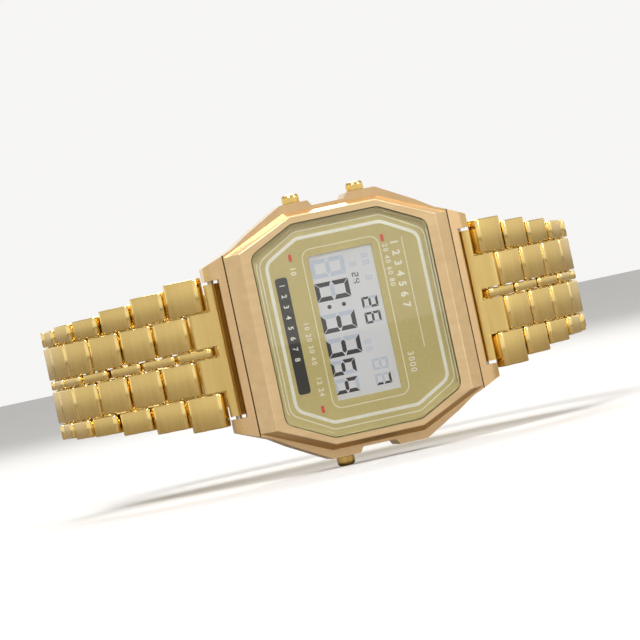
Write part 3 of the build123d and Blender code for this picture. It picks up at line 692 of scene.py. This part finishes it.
def link_object(name, s_low, s_high, width):
    """One link with its middle at z = 0, with its finish and its own coordinates as attributes."""
    work = bmesh.new()
    levels = []
    for k in range(4):
        t = math.radians(30 * k)
        levels.append((side_radius * (1 - math.sin(t)), side_radius * (1 - math.cos(t))))
    stations = [(-width / 2 + depth, inset) for inset, depth in levels]
    stations += [(width / 2 - depth, inset) for inset, depth in reversed(levels)]
    rings = [
        [work.verts.new((s * MM, n * MM, z * MM)) for s, n in link_section(s_low, s_high, inset)]
        for z, inset in stations
    ]
    count = len(rings[0])
    work.faces.new(rings[0])
    work.faces.new(list(reversed(rings[-1])))
    for first, second in zip(rings, rings[1:]):
        for i in range(count):
            j = (i + 1) % count
            work.faces.new((first[i], second[i], second[j], first[j]))
    bmesh.ops.recalc_face_normals(work, faces=work.faces)
    mesh = bpy.data.meshes.new(name)
    work.to_mesh(mesh)
    work.free()
    rolled = mesh.attributes.new("rolled", "FLOAT", "FACE")
    for face in mesh.polygons:
        rolled.data[face.index].value = 0.0 if abs(face.normal.y) > 0.985 else 1.0
    grain = mesh.attributes.new("grain", "FLOAT_VECTOR", "POINT")
    for vertex in mesh.vertices:
        grain.data[vertex.index].vector = vertex.co
    mesh.shade_smooth()
    mesh.set_sharp_from_angle(angle=math.radians(40))
    made = bpy.data.objects.new(name, mesh)
    bpy.context.collection.objects.link(made)
    return made


def row_tree():
    """Nodes that lay one row's links and pins side by side about z = 0."""
    tree = bpy.data.node_groups.new("bracelet_row", "GeometryNodeTree")
    tree.interface.new_socket("Geometry", in_out="OUTPUT", socket_type="NodeSocketGeometry")
    tree.interface.new_socket("Geometry", in_out="INPUT", socket_type="NodeSocketGeometry")
    for name in ("Outer Link", "Inner Link", "Centre Link"):
        tree.interface.new_socket(name, in_out="INPUT", socket_type="NodeSocketObject")
    for name in ("Outer Offset", "Inner Offset", "Pin Radius", "Pin Length", "Pin Spacing"):
        tree.interface.new_socket(name, in_out="INPUT", socket_type="NodeSocketFloat")
    tree.interface.new_socket("Metal", in_out="INPUT", socket_type="NodeSocketMaterial")
    entry, leave = tree.nodes.new("NodeGroupInput"), tree.nodes.new("NodeGroupOutput")
    join = tree.nodes.new("GeometryNodeJoinGeometry")

    def link(a, b):
        tree.links.new(a, b)

    for kind in ("Outer", "Inner", "Centre"):
        info = tree.nodes.new("GeometryNodeObjectInfo")
        link(entry.outputs[f"{kind} Link"], info.inputs["Object"])
        line = tree.nodes.new("GeometryNodeMeshLine")
        line.mode = "END_POINTS"
        line.inputs["Count"].default_value = 1 if kind == "Centre" else 2
        if kind != "Centre":
            ends = []
            for factor in (-1, 1):
                scaled = tree.nodes.new("ShaderNodeMath")
                scaled.operation = "MULTIPLY"
                scaled.inputs[1].default_value = factor
                link(entry.outputs[f"{kind} Offset"], scaled.inputs[0])
                combine = tree.nodes.new("ShaderNodeCombineXYZ")
                link(scaled.outputs[0], combine.inputs["Z"])
                ends.append(combine)
            link(ends[0].outputs[0], line.inputs["Start Location"])
            link(ends[1].outputs[0], line.inputs["Offset"])
        place = tree.nodes.new("GeometryNodeInstanceOnPoints")
        link(line.outputs[0], place.inputs["Points"])
        link(info.outputs["Geometry"], place.inputs["Instance"])
        link(place.outputs[0], join.inputs[0])

    pin = tree.nodes.new("GeometryNodeMeshCylinder")
    pin.inputs["Vertices"].default_value = pin_sides
    link(entry.outputs["Pin Radius"], pin.inputs["Radius"])
    link(entry.outputs["Pin Length"], pin.inputs["Depth"])
    pins = tree.nodes.new("GeometryNodeMeshLine")
    pins.inputs["Count"].default_value = 2
    step = tree.nodes.new("ShaderNodeCombineXYZ")
    link(entry.outputs["Pin Spacing"], step.inputs["X"])
    link(step.outputs[0], pins.inputs["Offset"])
    place = tree.nodes.new("GeometryNodeInstanceOnPoints")
    link(pins.outputs[0], place.inputs["Points"])
    link(pin.outputs[0], place.inputs["Instance"])
    link(place.outputs[0], join.inputs[0])

    realize = tree.nodes.new("GeometryNodeRealizeInstances")
    paint = tree.nodes.new("GeometryNodeSetMaterial")
    link(join.outputs[0], realize.inputs[0])
    link(realize.outputs[0], paint.inputs["Geometry"])
    link(entry.outputs["Metal"], paint.inputs["Material"])
    link(paint.outputs[0], leave.inputs[0])
    return tree


def run_tree(name, tree, values):
    """The mesh that a tree makes from named inputs."""
    holder = bpy.data.objects.new(name, bpy.data.meshes.new(name))
    bpy.context.collection.objects.link(holder)
    modifier = holder.modifiers.new(name, "NODES")
    modifier.node_group = tree
    for item in tree.interface.items_tree:
        if item.in_out == "INPUT" and item.name in values:
            modifier[item.identifier] = values[item.name]
    mesh = bpy.data.meshes.new_from_object(holder.evaluated_get(bpy.context.evaluated_depsgraph_get()))
    bpy.data.objects.remove(holder)
    return mesh


row_nodes = row_tree()
a_end = row_pitch - link_reach - link_gap
inner_link = link_object("inner_link", link_reach + link_gap, row_pitch + link_reach, inner_width)
centre_link = link_object("centre_link", -link_reach, a_end, centre_width)
inner_offset = (centre_width / 2 + column_gap + inner_width / 2) * MM
outer_start = centre_width / 2 + inner_width + 2 * column_gap
x = bar_place[0] + end_link_run * math.cos(end_link_angle) + end_link_rise * math.sin(end_link_angle)
y = bar_place[1] + end_link_run * math.sin(end_link_angle) - end_link_rise * math.cos(end_link_angle)
templates = [inner_link, centre_link]
for row, (turn, width) in enumerate(zip(row_angles, outer_widths), start=1):
    outer_link = link_object(f"outer_link_{row:02d}", -link_reach, a_end, width)
    templates.append(outer_link)
    row_mesh = run_tree(f"row_{row:02d}", row_nodes, {
        "Outer Link": outer_link, "Inner Link": inner_link, "Centre Link": centre_link,
        "Outer Offset": (outer_start + width / 2) * MM, "Inner Offset": inner_offset,
        "Pin Radius": pin_radius * MM, "Pin Length": 2 * (outer_start + width + pin_proud) * MM,
        "Pin Spacing": row_pitch / 2 * MM, "Metal": band_gold,
    })
    row_mesh.transform(
        Matrix.Translation((x * MM, y * MM, 0)) @ Matrix.Rotation(math.radians(turn), 4, "Z")
    )
    carrier = "end_link" if row < 4 else "row_04" if row < 8 else "row_08"
    for side in ("upper", "lower"):
        mesh = row_mesh.copy()
        if side == "lower":
            mesh.transform(Matrix.Scale(-1, 4, (1, 0, 0)))
            mesh.flip_normals()
        node = f"{side}_row_{row:02d}"
        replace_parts(add_piece(f"{node}_links", mesh, band_gold, f"{side}_{carrier}"), node)
    x += row_pitch * math.cos(math.radians(turn))
    y += row_pitch * math.sin(math.radians(turn))
for template in templates:
    bpy.data.objects.remove(template)


# The clasp is folded sheet in the same gold: a channel on the wrist side, a cover and a lock lever.
clasp_gold = brushed_metal(
    "clasp_gold", (0.62, 0.44, 0.14, 1), (0.84, 0.64, 0.27, 1), (0.05, 1, 1), 0.28, 0.005 * MM
)
for node in ("clasp_base", "clasp_cover", "clasp_lever"):
    finish_node(node, clasp_gold)
for node in ("clasp_pin_upper", "clasp_pin_lower", "clasp_cover_pin", "clasp_lever_pin"):
    finish_node(node, pusher_gold)


# A pale matt floor under the watch, soft lamps round it, and a pale surround. The metal reflects a darker
# floor and a studio with a bright ceiling.
def stage_surface(name, colour, reflected):
    """A matt surface that is pale to the camera and darker in reflections."""
    shader = Shader(name)
    seen = shader.node("ShaderNodeLightPath", {}, {}, "Is Glossy Ray")
    return shader.set(Base_Color=shader.mix(seen, colour, reflected), Roughness=0.8)


floor_size = 4.0
floor_z = cad_box[0][2]
floor_mesh = bpy.data.meshes.new("floor")
floor_mesh.from_pydata(
    [(a * floor_size, b * floor_size, floor_z) for a, b in ((-1, -1), (1, -1), (1, 1), (-1, 1))], [], [(0, 1, 2, 3)]
)
floor = bpy.data.objects.new("floor", floor_mesh)
bpy.context.collection.objects.link(floor)
floor.data.materials.append(stage_surface("floor", (0.50, 0.49, 0.48, 1), (0.16, 0.13, 0.10, 1)))

lamps = [
    ("key", (-0.25, -0.45, 0.45), 0.30, 5.5),
    ("fill", (0.45, -0.35, 0.25), 0.30, 2.0),
    ("back", (0.1, 0.5, 0.45), 0.30, 2.5),
]
for name, place, size, power in lamps:
    lamp = bpy.data.objects.new(name, bpy.data.lights.new(name, "AREA"))
    bpy.context.collection.objects.link(lamp)
    lamp.data.shape = "DISK"
    lamp.data.size = size
    lamp.data.energy = power
    lamp.location = place
    lamp.rotation_mode = "QUATERNION"
    lamp.rotation_quaternion = (-Vector(place)).to_track_quat("-Z", "Y")

world = bpy.data.worlds.new("surround")
bpy.context.scene.world = world
world.use_nodes = True
sky = world.node_tree.nodes
wire = world.node_tree.links
background = sky["Background"]
background.inputs["Strength"].default_value = 1.25
direction = sky.new("ShaderNodeTexCoord")
split = sky.new("ShaderNodeSeparateXYZ")
wire.new(direction.outputs["Generated"], split.inputs[0])
height = sky.new("ShaderNodeMapRange")
height.inputs["From Min"].default_value = -1
wire.new(split.outputs["Z"], height.inputs["Value"])
studio = sky.new("ShaderNodeValToRGB")
levels = [
    (0.0, (0.10, 0.08, 0.06)), (0.40, (0.14, 0.12, 0.10)), (0.47, (0.66, 0.64, 0.60)), (0.57, (0.86, 0.84, 0.80)),
    (0.72, (0.34, 0.32, 0.31)), (1.0, (0.85, 0.83, 0.80)),
]
while len(studio.color_ramp.elements) < len(levels):
    studio.color_ramp.elements.new(0.5)
for stop, (level, colour) in zip(studio.color_ramp.elements, levels):
    stop.position, stop.color = level, (*colour, 1)
wire.new(height.outputs[0], studio.inputs[0])
path = sky.new("ShaderNodeLightPath")
choice = sky.new("ShaderNodeMix")
choice.data_type = "RGBA"
choice.inputs[6].default_value = (0.74, 0.735, 0.725, 1)
wire.new(path.outputs["Is Glossy Ray"], choice.inputs["Factor"])
wire.new(studio.outputs[0], choice.inputs[7])
wire.new(choice.outputs[2], background.inputs["Color"])

bpy.context.scene.view_settings.view_transform = "Standard"
